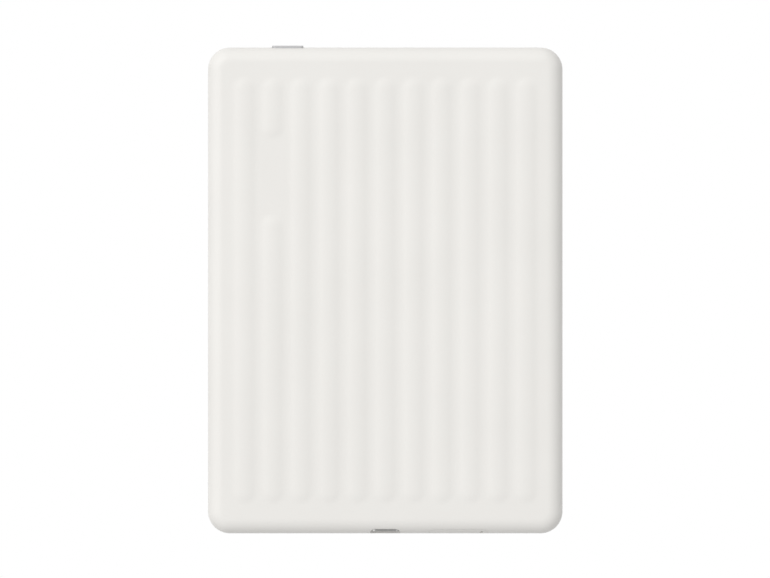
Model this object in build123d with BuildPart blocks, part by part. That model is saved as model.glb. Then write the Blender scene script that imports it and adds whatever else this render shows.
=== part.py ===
from build123d import *
import math
import os

# A slim six-inch e-reader, lying on its glass. +Z points out of its back, +Y to its top edge,
# and the origin is the middle of the glass face. All sizes are in millimetres.

# Driving sizes of the housing
body_width = 108.0
body_length = 148.0
body_depth = 6.8
corner_radius = 6.7
back_edge_radius = 4.6
front_edge_radius = 0.5
side_wall = 1.3
back_wall = 1.15
seam_height = 0.9
seam_groove = 0.12
seam_groove_depth = 0.6

# Ribs on the back; one of them is interrupted by a flat land
rib_count = 11
rib_height = 0.36
rib_crest_share = 0.57
rib_side_margin = 6.975
rib_end_margin = 8.5
rib_root = 0.4
broken_rib = 1
land_top = 28.6
land_length = 21.6

# Front frame, glass and the layers behind it
rim_width = 1.6
glass_thickness = 0.6
glass_chamfer = 0.1
print_thickness = 0.05
print_margin = 0.5
adhesive_thickness = 0.05
ledge_width = 2.0
ledge_thickness = 0.55
ledge_corner = 2.0
frame_wall = 1.2
frame_top = 2.15
side_bezel = 8.7
top_bezel = 9.5
bottom_bezel = 16.1
touch_thickness = 0.2
guide_thickness = 0.5
ink_thickness = 0.2
ink_margin = 1.2
backplane_thickness = 0.5
backplane_side = 4.5
backplane_top = 3.0
backplane_bottom = 5.6
foam_width = 3.0
mid_plate = 0.4

# Mainboard, in the bottom third of the body
board_thickness = 0.7
board_height = 2.9
board_side_gap = 7.0
board_edge_gap = 3.5
board_tab_length = 6.0
board_length = 35.5
board_tab_left = -12.0
board_tab_right = 32.5

# Battery, between the mainboard and the top
battery_side_gap = 12.5
battery_top_gap = 35.0
battery_board_gap = 6.0
battery_thickness = 2.5
tape_thickness = 0.1

# USB-C port
port_height = 3.45
port_slot_width = 9.3
port_slot_height = 3.45
port_shell_width = 8.94
port_shell_height = 3.16
port_shell_wall = 0.3
port_shell_length = 7.3
port_setback = 1.7

# Power button
button_x = -29.7
button_length = 9.5
button_thickness = 1.8
button_height = 2.4
button_proud = 0.5
button_end_gap = 0.35

# Card tray and its pinhole
tray_left = 13.6
tray_height = 3.7
tray_face_width = 17.6
tray_face_height = 2.4
pinhole_inset = 1.9
pinhole_radius = 0.6
tray_frame_width = 13.0
tray_frame_length = 17.0
card_width = 11.0
card_length = 15.0

# Bought-in parts
screw_radius = 0.7
screw_head_radius = 1.3
screw_head_height = 0.5
flex_thickness = 0.12
coax_radius = 0.4
coax_height = 4.52
coax_bend = 4.5

# Clearances
fit = 0.1
loose_fit = 0.15
screw_fit = 0.05
running_gap = 0.3

# Heights that follow from the sizes above
back_level = body_depth - rib_height
wall_inside = back_level - back_wall
print_back = glass_thickness + print_thickness
ledge_front = print_back + adhesive_thickness
ledge_back = ledge_front + ledge_thickness
touch_back = print_back + touch_thickness
guide_back = touch_back + guide_thickness
ink_back = guide_back + ink_thickness
backplane_back = ink_back + backplane_thickness
mid_top = frame_top + mid_plate
board_top = board_height + board_thickness
battery_base = mid_top + tape_thickness

# Places in plan that follow from the sizes above
half_width = body_width / 2
half_length = body_length / 2
inner_half_width = half_width - side_wall
inner_half_length = half_length - side_wall
frame_half_width = inner_half_width - loose_fit
frame_half_length = inner_half_length - loose_fit
pocket_width = body_width - 2 * rim_width
pocket_length = body_length - 2 * rim_width
pocket_radius = corner_radius - rim_width
glass_width = pocket_width - 2 * fit
glass_length = pocket_length - 2 * fit
glass_radius = pocket_radius - fit
ledge_inner_width = pocket_width - 2 * ledge_width
ledge_inner_length = pocket_length - 2 * ledge_width
active_width = body_width - 2 * side_bezel
active_length = body_length - top_bezel - bottom_bezel
active_y = (bottom_bezel - top_bezel) / 2
backplane_width = active_width + 2 * backplane_side
backplane_length = active_length + backplane_top + backplane_bottom
backplane_y = active_y + (backplane_top - backplane_bottom) / 2
backplane_bottom_y = backplane_y - backplane_length / 2
half_board = half_width - board_side_gap
tab_bottom_y = board_edge_gap - half_length
board_bottom_y = tab_bottom_y + board_tab_length
board_top_y = board_bottom_y + board_length
board_y = (board_top_y + board_bottom_y) / 2
battery_low_y = board_top_y + battery_board_gap
battery_high_y = half_length - battery_top_gap
battery_length = battery_high_y - battery_low_y
battery_width = body_width - 2 * battery_side_gap
battery_y = (battery_low_y + battery_high_y) / 2

os.makedirs("parts", exist_ok=True)


def plate(width, length, low, high, radius=0.0, centre=(0, 0), mode=Mode.ADD):
    """Add or cut a flat plate, with rounded corners if a radius is given, between two heights."""
    with BuildSketch(Plane.XY.offset(low)) as outline:
        with Locations(centre):
            if radius > 0:
                RectangleRounded(width, length, radius)
            else:
                Rectangle(width, length)
    extrude(outline.sketch, amount=high - low, mode=mode)


def block(left, right, bottom, top, low, high, mode=Mode.ADD):
    """Add or cut a box given by its limits in X, Y and Z."""
    middle = ((left + right) / 2, (bottom + top) / 2)
    plate(right - left, top - bottom, low, high, centre=middle, mode=mode)


def drum(radius, low, high, places, mode=Mode.ADD):
    """Add or cut upright round posts at the given places."""
    with BuildSketch(Plane.XY.offset(low)) as rounds:
        with Locations(*places):
            Circle(radius)
    extrude(rounds.sketch, amount=high - low, mode=mode)


def edge_slot(x, height, width, thickness, front, back, mode=Mode.ADD):
    """Add or cut a bar with half-round ends that runs along Y, between two places in Y."""
    with BuildSketch(Plane.XZ.offset(-back)) as profile:
        with Locations((x, height)):
            SlotOverall(width, thickness)
    extrude(profile.sketch, amount=back - front, mode=mode)


def edge_pin(x, height, radius, front, back, mode=Mode.ADD):
    """Add or cut a round pin that runs along Y, between two places in Y."""
    with BuildSketch(Plane.XZ.offset(-back)) as profile:
        with Locations((x, height)):
            Circle(radius)
    extrude(profile.sketch, amount=back - front, mode=mode)


def strip(points, radius, left, right):
    """Add a bent flex whose side view follows rounded points (y, z), from left to right in X."""
    with BuildSketch(Plane.YZ.offset(left)) as section:
        with BuildLine():
            FilletPolyline(*points, radius=radius)
        trace(line_width=flex_thickness)
    extrude(section.sketch, amount=right - left)


def screws(foot, seat, places):
    """Add pan head screws with hexagonal sockets, from their foot up to the seat under the head."""
    head_top = seat + screw_head_height
    drum(screw_head_radius, seat, head_top, places)
    drum(screw_radius - screw_fit, foot, seat, places)
    with BuildSketch(Plane.XY.offset(head_top)) as sockets:
        with Locations(*places):
            RegularPolygon(screw_head_radius * 0.45, 6)
    extrude(sockets.sketch, amount=-screw_head_height * 0.55, mode=Mode.SUBTRACT)


def save(part, name):
    """Label a finished piece and write it as its own STEP file."""
    part.label = name
    export_step(part, f"parts/{name}.step")


# ---------------------------------------------------------------- ribs of the rear shell
rib_pitch = (body_width - 2 * rib_side_margin) / rib_count
rib_half = rib_pitch / 2
rib_crest_half = rib_half * rib_crest_share
rib_tilt = 2 * math.atan(rib_height / rib_half)
crest_drop = rib_crest_half * math.tan(rib_tilt / 2)


def rib(length):
    """One rib: a round crest between two hollow flanks, with half-round ends in plan."""
    straight_half = length / 2 - rib_half
    with BuildPart() as bar:
        with BuildSketch(Plane.XZ):
            with BuildLine():
                crest_end = (rib_crest_half, rib_height - crest_drop)
                crest = TangentArc((0, rib_height), crest_end, tangent=(1, 0))
                TangentArc(crest @ 1, (rib_half, 0), tangent=crest % 1)
                Polyline((rib_half, 0), (rib_half, -rib_root), (0, -rib_root), (0, rib_height))
            half_section = make_face().face()
            mirror(about=Plane.YZ)
        extrude(amount=straight_half, both=True)
        for end in (-1, 1):
            with BuildSketch(Plane.XZ.offset(-end * straight_half)):
                add(half_section)
            revolve(axis=Axis((0, end * straight_half, 0), (0, 0, end)), revolution_arc=180)
    return bar.part


rib_field_half = half_length - rib_end_margin
land_high_y = half_length - land_top
land_low_y = land_high_y - land_length
full_rib = rib(2 * rib_field_half)
upper_rib = rib(rib_field_half - land_high_y)
lower_rib = rib(land_low_y + rib_field_half)
rib_places = [(index - (rib_count - 1) / 2) * rib_pitch for index in range(rib_count)]

# ---------------------------------------------------------------- snap fits between shell and frame
snap_low = 1.3
snap_high = 1.8
snap_reach = 0.35
snap_length = 5.0
snap_play = 0.3
snap_middle = (snap_low + snap_high) / 2
end_snap_x = half_width - 12.0
side_snap_ys = (-half_length + 22.0, -18.0, 18.0, half_length - 22.0)
side_snaps = [(side * frame_half_width, y, snap_middle) for side in (-1, 1) for y in side_snap_ys]
end_snap_xs = (-end_snap_x, end_snap_x)
end_snaps = [(x, side * frame_half_length, snap_middle) for x in end_snap_xs for side in (-1, 1)]


def snaps(reach, play, mode=Mode.ADD):
    """Add the frame's snap noses, or cut their recesses, reaching that far past the frame's wall."""
    along = snap_length + 2 * play
    tall = snap_high - snap_low + play
    with Locations(*side_snaps):
        Box(2 * reach, along, tall, mode=mode)
    with Locations(*end_snaps):
        Box(along, 2 * reach, tall, mode=mode)


# ---------------------------------------------------------------- rear shell
tray_right = tray_left + tray_face_width
tray_x = (tray_left + tray_right) / 2
pinhole_x = tray_right - pinhole_inset
button_half = button_length / 2
past_edge = half_length + 1

with BuildPart() as shell_outside:
    plate(body_width, body_length, seam_height, back_level, corner_radius)
    fillet(shell_outside.faces().sort_by(Axis.Z)[-1].edges(), back_edge_radius)
    with Locations(*[(x, 0, back_level) for i, x in enumerate(rib_places) if i != broken_rib]):
        add(full_rib)
    with Locations((rib_places[broken_rib], (rib_field_half + land_high_y) / 2, back_level)):
        add(upper_rib)
    with Locations((rib_places[broken_rib], (land_low_y - rib_field_half) / 2, back_level)):
        add(lower_rib)
outer_form = shell_outside.part

with BuildPart() as shell_core:
    core_radius = corner_radius - side_wall
    plate(2 * inner_half_width, 2 * inner_half_length, seam_height, wall_inside, core_radius)
    fillet(shell_core.faces().sort_by(Axis.Z)[-1].edges(), back_edge_radius - side_wall)

with BuildPart() as rear_shell:
    add(outer_form)
    add(shell_core.part, mode=Mode.SUBTRACT)
    with BuildSketch(Plane.XY.offset(seam_height)) as groove:
        RectangleRounded(body_width, body_length, corner_radius)
        offset(amount=-seam_groove_depth, mode=Mode.SUBTRACT)
    extrude(groove.sketch, amount=seam_groove, mode=Mode.SUBTRACT)
    snaps(snap_reach + fit, snap_play, Mode.SUBTRACT)
    edge_slot(0, port_height, port_slot_width, port_slot_height, -past_edge, 7 - past_edge, Mode.SUBTRACT)
    tray_slot = (tray_face_width + 2 * fit, tray_face_height + 2 * fit)
    edge_slot(tray_x, tray_height, *tray_slot, -past_edge, 6 - past_edge, Mode.SUBTRACT)
    button_slot = (button_length + 2 * button_end_gap, button_thickness + 2 * fit)
    edge_slot(button_x, button_height, *button_slot, past_edge - 6, past_edge, Mode.SUBTRACT)
save(rear_shell.part, "rear_shell")

# ---------------------------------------------------------------- front frame
notch_left = button_x - button_half - 2.0
notch_right = button_x + button_half + 2.0
boss_radius = 1.5
boss_foot = touch_back + fit
boss_inset = 4.4
top_boss_x = half_width - 8.0
bottom_boss_x = half_width - 5.8
frame_screws = [(x, half_length - boss_inset) for x in (-top_boss_x, 0, top_boss_x)]
frame_screws += [(x, boss_inset - half_length) for x in (-bottom_boss_x, bottom_boss_x)]
port_notch_half = port_slot_width / 2 + 0.4

with BuildPart() as front_frame:
    plate(body_width, body_length, 0, seam_height, corner_radius)
    fillet(front_frame.faces().sort_by(Axis.Z)[0].edges(), front_edge_radius)
    wall_width = 2 * frame_half_width
    wall_length = 2 * frame_half_length
    plate(wall_width, wall_length, seam_height, frame_top, pocket_radius)
    plate(pocket_width, pocket_length, 0, ledge_front, pocket_radius, mode=Mode.SUBTRACT)
    ledge_opening = (ledge_inner_width, ledge_inner_length)
    plate(*ledge_opening, ledge_front, frame_top, ledge_corner, mode=Mode.SUBTRACT)
    wall_opening = (wall_width - 2 * frame_wall, wall_length - 2 * frame_wall)
    plate(*wall_opening, ledge_back, frame_top, ledge_corner, mode=Mode.SUBTRACT)
    snaps(snap_reach, 0)
    drum(boss_radius, boss_foot, frame_top, frame_screws)
    drum(screw_radius, boss_foot + 0.15, frame_top, frame_screws, Mode.SUBTRACT)
    block(notch_left, notch_right, half_length - 6, half_length, ledge_back, frame_top, Mode.SUBTRACT)
    port_notch = (-port_notch_half, port_notch_half, -half_length, 4 - half_length)
    block(*port_notch, ledge_back, frame_top, Mode.SUBTRACT)
save(front_frame.part, "front_frame")

# ---------------------------------------------------------------- cover glass and its print
with BuildPart() as cover_glass:
    plate(glass_width, glass_length, 0, glass_thickness, glass_radius)
    chamfer(cover_glass.faces().sort_by(Axis.Z)[0].edges(), glass_chamfer)
save(cover_glass.part, "cover_glass")

with BuildPart() as bezel_print:
    window = (active_width + 2 * print_margin, active_length + 2 * print_margin)
    plate(glass_width, glass_length, glass_thickness, print_back, glass_radius)
    plate(*window, glass_thickness, print_back, centre=(0, active_y), mode=Mode.SUBTRACT)
save(bezel_print.part, "bezel_print")

with BuildPart() as glass_adhesive:
    plate(glass_width, glass_length, print_back, ledge_front, glass_radius)
    plate(*ledge_opening, print_back, ledge_front, ledge_corner, mode=Mode.SUBTRACT)
save(glass_adhesive.part, "glass_adhesive")

# ---------------------------------------------------------------- display stack
with BuildPart() as touch_sensor:
    touch_size = (ledge_inner_width - 2 * loose_fit, ledge_inner_length - 2 * loose_fit)
    plate(*touch_size, print_back, touch_back, ledge_corner - loose_fit)
save(touch_sensor.part, "touch_sensor")

with BuildPart() as light_guide:
    plate(backplane_width, backplane_length, touch_back, guide_back, 0.6, (0, backplane_y))
save(light_guide.part, "light_guide")

with BuildPart() as eink_film:
    ink_size = (active_width + 2 * ink_margin, active_length + 2 * ink_margin)
    plate(*ink_size, guide_back, ink_back, centre=(0, active_y))
save(eink_film.part, "eink_film")

with BuildPart() as tft_backplane:
    plate(backplane_width, backplane_length, ink_back, backplane_back, 0.4, (0, backplane_y))
save(tft_backplane.part, "tft_backplane")

driver_x = active_width / 2 - 13.3
driver_half_length = 9.0
driver_half_width = 0.6
driver_y = backplane_bottom_y + 2.6
with BuildPart() as display_drivers:
    with Locations((-driver_x, driver_y, guide_back), (driver_x, driver_y, guide_back)):
        Box(
            2 * driver_half_length,
            2 * driver_half_width,
            ink_thickness,
            align=(Align.CENTER, Align.CENTER, Align.MIN),
        )
save(display_drivers.part, "display_drivers")

with BuildPart() as display_foam:
    opening = (backplane_width - 2 * foam_width, backplane_length - 2 * foam_width)
    plate(backplane_width, backplane_length, backplane_back, frame_top, 0.4, (0, backplane_y))
    plate(*opening, backplane_back, frame_top, centre=(0, backplane_y), mode=Mode.SUBTRACT)
save(display_foam.part, "display_foam")

# ---------------------------------------------------------------- frontlight and the flexes to the mainboard
led_count = 16
led_size = (2.6, 1.0)
led_y = backplane_bottom_y - 0.9
led_base = touch_back + flex_thickness
with BuildPart() as frontlight_leds:
    with Locations((0, led_y, (led_base + guide_back) / 2)):
        with GridLocations(active_width / led_count, 1, led_count, 1):
            Box(*led_size, guide_back - led_base)
save(frontlight_leds.part, "frontlight_leds")

flex_bend = 0.5
flex_land = board_top + 0.22
flex_end_y = board_bottom_y + 2.2
light_tail_right = half_board - 8.0
light_tail_left = light_tail_right - 4.0
light_climb = board_bottom_y - 2.2
strip_height = touch_back + flex_thickness / 2
with BuildPart() as frontlight_strip:
    strip_half = active_width / 2
    block(-strip_half, strip_half, led_y - 0.9, led_y + 0.7, touch_back, led_base)
    light_course = [
        (led_y - 0.8, strip_height),
        (light_climb, strip_height),
        (light_climb, flex_land),
        (flex_end_y, flex_land),
    ]
    strip(light_course, flex_bend, light_tail_left, light_tail_right)
save(frontlight_strip.part, "frontlight_strip")

display_flex_left = 9.0 - half_board
display_flex_right = board_tab_left - 2.0
display_climb = board_bottom_y - 1.6
display_flex_start = guide_back + flex_thickness / 2
with BuildPart() as display_flex:
    display_course = [
        (backplane_bottom_y + 1.2, display_flex_start),
        (display_climb, display_flex_start),
        (display_climb, flex_land),
        (flex_end_y, flex_land),
    ]
    strip(display_course, flex_bend, display_flex_left, display_flex_right)
save(display_flex.part, "display_flex")

touch_flex_left = 1.6 - half_board
touch_flex_right = touch_flex_left + 4.6
touch_climb = 4.6 - half_length
touch_flex_start = touch_back + flex_thickness / 2
with BuildPart() as touch_flex:
    touch_course = [
        (touch_climb + 2.0, touch_flex_start),
        (touch_climb, touch_flex_start),
        (touch_climb, flex_land),
        (flex_end_y, flex_land),
    ]
    strip(touch_course, 0.4, touch_flex_left, touch_flex_right)
save(touch_flex.part, "touch_flex")

# ---------------------------------------------------------------- mid frame
# Its small sheet tabs on the right hold the antenna's coax.
standoff_radius = 1.6
standoff_inset = 2.5
standoff_places = [
    (6.7 - half_board, board_top_y - 2.6),
    (6.0, board_top_y - standoff_inset),
    (half_board - standoff_inset, board_top_y - standoff_inset),
    (board_tab_left + 3.5, board_bottom_y + standoff_inset),
    (half_board - standoff_inset, board_bottom_y + 3.0),
]
flange_depth = 3.4
flange_thickness = 0.6
nub_reach = 0.3
switch_gap = 0.45
switch_depth = 2.0
flange_back = half_length - flange_depth
flange_front = flange_back + flange_thickness
plunger_front = flange_back - nub_reach
switch_front = plunger_front - switch_gap
switch_back = switch_front - switch_depth
bracket_sheet = 0.3
bracket_left = button_x - 8.0
bracket_right = button_x + 8.0
bracket_top = mid_top + bracket_sheet
bracket_screws = [(button_x - 6.3, switch_back - 4.05), (button_x + 6.3, switch_back - 4.05)]
coax_x = half_width - 5.4
clip_gap = 0.05
clip_sheet = 0.3
clip_half_length = 1.5
clip_ys = (battery_low_y + 5.0, battery_y + 4.0, battery_high_y + 3.0)
port_mouth_y = port_setback - half_length
port_back_y = port_mouth_y + port_shell_length
tray_face_back = 2.2 - half_length
rod_clear = 0.5
rod_half = 0.7
rod_left = pinhole_x - rod_half - rod_clear
rod_right = pinhole_x + rod_half + rod_clear
rod_notch_top = tab_bottom_y + 4.1
flex_clear = 0.6
plate_width = 2 * frame_half_width - 0.4
plate_length = 2 * frame_half_length - 0.4


def frame_notch(left, right, bottom, top):
    """Cut a notch through the mid frame's sheet."""
    block(left, right, bottom, top, frame_top, mid_top, Mode.SUBTRACT)


def flex_window(left, right, climb_y):
    """Cut the mid frame's window for a flex that climbs through it at that place in Y."""
    frame_notch(left - flex_clear, right + flex_clear, climb_y - 0.8, climb_y + 0.6)


with BuildPart() as mid_frame:
    plate(plate_width, plate_length, frame_top, mid_top, pocket_radius)
    drum(screw_radius + screw_fit, frame_top, mid_top, frame_screws + bracket_screws, Mode.SUBTRACT)
    drum(standoff_radius, frame_top, mid_top, standoff_places, Mode.SUBTRACT)
    frame_notch(-port_notch_half - 0.25, port_notch_half + 0.25, -half_length, port_back_y + 0.8)
    frame_notch(tray_left - 0.4, tray_right + 0.4, -half_length, tray_face_back + 1.2)
    frame_notch(notch_left, notch_right, switch_back - 0.05, half_length)
    flex_window(display_flex_left, display_flex_right, display_climb)
    flex_window(light_tail_left, light_tail_right, light_climb)
    flex_window(touch_flex_left, touch_flex_right, touch_climb)
    for y in clip_ys:
        for side in (-1, 1):
            tab_x = coax_x + side * (coax_radius + clip_gap + clip_sheet / 2)
            tab_size = (clip_sheet, 2 * clip_half_length)
            plate(*tab_size, mid_top, coax_height + 0.3, centre=(tab_x, y))
save(mid_frame.part, "mid_frame")

with BuildPart() as mid_frame_screws:
    screws(boss_foot + 0.3, mid_top, frame_screws)
    screws(frame_top, bracket_top, bracket_screws)
save(mid_frame_screws.part, "mid_frame_screws")

with BuildPart() as standoffs:
    drum(standoff_radius, frame_top, board_height, standoff_places)
    drum(screw_radius, frame_top, board_height, standoff_places, Mode.SUBTRACT)
save(standoffs.part, "standoffs")

# ---------------------------------------------------------------- battery
# A foil pouch whose lower seam is a thin terrace, on which its protection board lies.
terrace_length = 3.2
terrace_thickness = 0.5
terrace_inset = 2.0
pouch_radius = 1.5
pouch_edge = 0.6
terrace_top = battery_base + terrace_thickness
terrace_low_y = battery_low_y - terrace_length
with BuildPart() as battery_cell:
    battery_top = battery_base + battery_thickness
    plate(battery_width, battery_length, battery_base, battery_top, pouch_radius, (0, battery_y))
    fillet(battery_cell.faces().sort_by(Axis.Z)[-1].edges(), pouch_edge)
    terrace_half = battery_width / 2 - terrace_inset
    block(-terrace_half, terrace_half, terrace_low_y, battery_low_y + 1, battery_base, terrace_top)
save(battery_cell.part, "battery_cell")

protection_half = 14.0
protection_top = terrace_top + 0.6
with BuildPart() as battery_protection_board:
    protection_ys = (terrace_low_y + 0.3, battery_low_y - 0.3)
    block(-protection_half, protection_half, *protection_ys, terrace_top, protection_top)
    for x in (-9, 4, 9):
        plate(3.0, 1.5, protection_top, protection_top + 0.6, centre=(x, battery_low_y - 1.25))
save(battery_protection_board.part, "battery_protection_board")

tape_width = 14.0
tape_x = battery_width / 2 - 15.5
with BuildPart() as battery_tape:
    for x in (-tape_x, tape_x):
        plate(tape_width, battery_length - 6, mid_top, battery_base, 1.0, (x, battery_y))
save(battery_tape.part, "battery_tape")

wire_radius = 0.35
wire_pitch = 1.2
wire_height = board_top + 0.55
plug_top_y = board_top_y - 1.2
plug_half = 2.4
plug_depth = 2.4
plug_top = board_top + 1.0
socket_wall = 0.8
socket_depth = 4.0
socket_top = board_top + 1.2
lead_start_y = battery_low_y - 2.6
with BuildPart() as battery_lead:
    with BuildSketch(Plane.XZ.offset(-lead_start_y)):
        with Locations((0, wire_height)):
            with GridLocations(wire_pitch, 1, 3, 1):
                Circle(wire_radius)
    extrude(amount=lead_start_y - plug_top_y)
save(battery_lead.part, "battery_lead")

with BuildPart() as battery_plug:
    block(-plug_half, plug_half, plug_top_y - plug_depth, plug_top_y, board_top + loose_fit, plug_top)
save(battery_plug.part, "battery_plug")

with BuildPart() as battery_socket:
    mouth_half = plug_half + fit
    socket_half = mouth_half + socket_wall
    pocket_low_y = plug_top_y - plug_depth - fit
    block(-socket_half, socket_half, plug_top_y - socket_depth, plug_top_y - 0.3, board_top, socket_top)
    block(-mouth_half, mouth_half, pocket_low_y, plug_top_y, board_top + fit, socket_top, Mode.SUBTRACT)
save(battery_socket.part, "battery_socket")

# ---------------------------------------------------------------- mainboard
port_cut_half = port_shell_width / 2 + loose_fit
with BuildPart() as mainboard:
    block(-half_board, half_board, board_bottom_y, board_top_y, board_height, board_top)
    block(board_tab_left, board_tab_right, tab_bottom_y, board_bottom_y, board_height, board_top)
    port_cut_top = port_back_y + loose_fit
    block(-port_cut_half, port_cut_half, tab_bottom_y, port_cut_top, board_height, board_top, Mode.SUBTRACT)
    block(rod_left, rod_right, tab_bottom_y, rod_notch_top, board_height, board_top, Mode.SUBTRACT)
    drum(screw_radius + fit, board_height, board_top, standoff_places, Mode.SUBTRACT)
save(mainboard.part, "mainboard")

with BuildPart() as mainboard_screws:
    screws(frame_top + fit, board_top, standoff_places)
save(mainboard_screws.part, "mainboard_screws")


def chip(name, x, y, width, length, thickness):
    """Write one flat chip that stands on the mainboard."""
    with BuildPart() as body:
        plate(width, length, board_top, board_top + thickness, centre=(x, y))
        chamfer(body.faces().sort_by(Axis.Z)[-1].edges(), 0.08)
    save(body.part, name)


can_x = -24.0
can_y = board_y + 2.25
can_width = 30.0
can_length = 21.0
can_wall = 0.15
can_top = board_top + 1.35
pad_size = 14.0
chip("processor", can_x - 6.5, can_y, 13.0, 13.0, 0.95)
chip("memory_chip", can_x + 8.0, can_y, 10.0, 14.5, 0.9)
chip("flash_chip", 12.5, board_y + 3.75, 11.5, 13.0, 0.95)
chip("power_chip", 25.0, board_y + 8.75, 7.0, 7.0, 0.85)
chip("hall_sensor", half_board - 2.5, board_y + 1.75, 1.6, 2.9, 0.9)

with BuildPart() as shield_can:
    can_inside = (can_width - 2 * can_wall, can_length - 2 * can_wall)
    plate(can_width, can_length, board_top, can_top, 0.6, (can_x, can_y))
    plate(*can_inside, board_top, can_top - can_wall, 0.45, (can_x, can_y), Mode.SUBTRACT)
save(shield_can.part, "shield_can")

with BuildPart() as thermal_pad:
    plate(pad_size, pad_size, can_top, wall_inside - 0.05, 0.5, (can_x - 4, can_y))
save(thermal_pad.part, "thermal_pad")

radio_x = half_board - 9.5
radio_y = board_y - 5.75
with BuildPart() as radio_module:
    plate(12, 12, board_top, board_top + 0.3, centre=(radio_x, radio_y))
    plate(11.2, 11.2, board_top + 0.3, board_top + 1.4, 0.4, (radio_x, radio_y))
save(radio_module.part, "radio_module")

# Each coil: its place from the board's middle line, and its side
coils = ((17.0, 12.75, 3.0), (32.0, 12.75, 3.0), (32.0, 5.25, 4.0), (25.0, 1.25, 2.5), (8.5, -12.75, 4.0))
with BuildPart() as inductors:
    for x, y, size in coils:
        plate(size, size, board_top, board_top + 1.1, 0.3, (x, board_y + y))
save(inductors.part, "inductors")

# Each field of capacitors: its middle from the board's middle line, and its columns and rows
capacitor_fields = ((3.0, -7.25, 6, 2), (36.0, 9.25, 3, 3), (-3.0, 2.75, 2, 8), (-28.0, -11.25, 10, 1))
with BuildPart() as capacitors:
    for x, y, columns, rows in capacitor_fields:
        with Locations((x, board_y + y, board_top + 0.3)):
            with GridLocations(1.5, 1.6, columns, rows):
                Box(0.6, 1.1, 0.6)
save(capacitors.part, "capacitors")

with BuildPart() as crystals:
    plate(3.2, 2.5, board_top, board_top + 0.7, 0.2, (3.5 - half_board, board_y + 2.75))
    plate(2.0, 1.6, board_top, board_top + 0.5, 0.2, (half_board - 11.0, board_y + 3.25))
save(crystals.part, "crystals")

# ---------------------------------------------------------------- flex connectors
connector_depth = 2.4
connector_height = 0.9
key_flex_left = 1.0 - half_board
key_flex_right = key_flex_left + 3.0


def flex_connector(name, left, right, mouth_y, inward):
    """Write a low connector for a flex that enters at mouth_y and runs inward (+1 or -1 in Y)."""
    slit = flex_thickness / 2 + 0.03
    body_y = mouth_y + inward * connector_depth / 2
    pocket_y = mouth_y + inward * (connector_depth - 0.8) / 2
    middle = (left + right) / 2
    pocket_size = (right - left + fit, connector_depth - 0.8)
    with BuildPart() as body:
        body_size = (right - left + 1.6, connector_depth)
        plate(*body_size, board_top, board_top + connector_height, centre=(middle, body_y))
        low, high = flex_land - slit, flex_land + slit
        plate(*pocket_size, low, high, centre=(middle, pocket_y), mode=Mode.SUBTRACT)
    save(body.part, name)


flex_connector("display_connector", display_flex_left, display_flex_right, board_bottom_y + 1.0, 1)
flex_connector("touch_connector", touch_flex_left, touch_flex_right, board_bottom_y + 1.0, 1)
flex_connector("frontlight_connector", light_tail_left, light_tail_right, board_bottom_y + 1.0, 1)
flex_connector("key_connector", key_flex_left, key_flex_right, board_top_y - 1.0, -1)

# ---------------------------------------------------------------- USB-C port
port_inner = (port_shell_width - 2 * port_shell_wall, port_shell_height - 2 * port_shell_wall)
leg_size = (1.5, 1.4, 0.3)
leg_x = port_shell_width / 2 + 0.55
with BuildPart() as usb_shell:
    edge_slot(0, port_height, port_shell_width, port_shell_height, port_mouth_y, port_back_y)
    edge_slot(0, port_height, *port_inner, port_mouth_y, port_back_y, Mode.SUBTRACT)
    for x in (-leg_x, leg_x):
        for y in (port_mouth_y + 3.2, port_back_y - 1.0):
            with Locations((x, y, board_top + leg_size[2] / 2)):
                Box(*leg_size)
save(usb_shell.part, "usb_shell")

tongue_half_width = 3.35
tongue_thickness = 0.7
tongue_base_y = port_back_y - 1.6
tongue_low = port_height - tongue_thickness / 2
tongue_high = port_height + tongue_thickness / 2
with BuildPart() as usb_tongue:
    edge_slot(0, port_height, port_inner[0] - 0.02, port_inner[1] - 0.02, tongue_base_y, port_back_y)
    block(-tongue_half_width, tongue_half_width, port_mouth_y + 0.9, tongue_base_y, tongue_low, tongue_high)
save(usb_tongue.part, "usb_tongue")

contact_thickness = 0.03
with BuildPart() as usb_contacts:
    with Locations((0, port_mouth_y + 3.1, port_height)):
        with GridLocations(0.5, 1, 12, 1):
            Box(0.25, 3.6, tongue_thickness + 2 * contact_thickness)
            Box(0.25, 3.6, tongue_thickness, mode=Mode.SUBTRACT)
save(usb_contacts.part, "usb_contacts")

# ---------------------------------------------------------------- card socket
# The rod beside the tray turns the lever behind it, whose other end pushes the tray out.
frame_left = tray_left + 1.0
frame_right = frame_left + tray_frame_width
frame_x = (frame_left + frame_right) / 2
tray_tail_y = tray_face_back + tray_frame_length
tray_low = board_top + 0.35
tray_high = tray_low + 0.85
cage_wall = 0.15
cage_top = tray_high + 0.25
cage_left = frame_left - 0.5
cage_right = pinhole_x + 1.5
cage_back_y = tray_tail_y + 3.5
base_top = board_top + 0.2
base_left = cage_left + cage_wall
base_right = cage_right - cage_wall
lever_half = 0.8
lever_thickness = 0.4
lever_low = base_top + fit
lever_high = lever_low + lever_thickness
lever_gap = 1.5
lever_y = tray_tail_y + lever_gap + lever_half
lever_arm = 4.8
lever_nose = 4.5
lever_pivot = [(pinhole_x - lever_arm, lever_y)]
pivot_radius = 0.4
with BuildPart() as card_socket_base:
    block(base_left, base_right, tab_bottom_y, cage_back_y, board_top, base_top)
    block(rod_left, rod_right, tab_bottom_y, rod_notch_top, board_top, base_top, Mode.SUBTRACT)
    drum(1.4, board_top, base_top, lever_pivot, Mode.SUBTRACT)
save(card_socket_base.part, "card_socket_base")

with BuildPart() as card_socket_contacts:
    with Locations((frame_x, tab_bottom_y + 8.0, base_top + contact_thickness)):
        with GridLocations(1.1, 1, 8, 1):
            Box(0.5, 5.0, 2 * contact_thickness)
save(card_socket_contacts.part, "card_socket_contacts")

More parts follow.
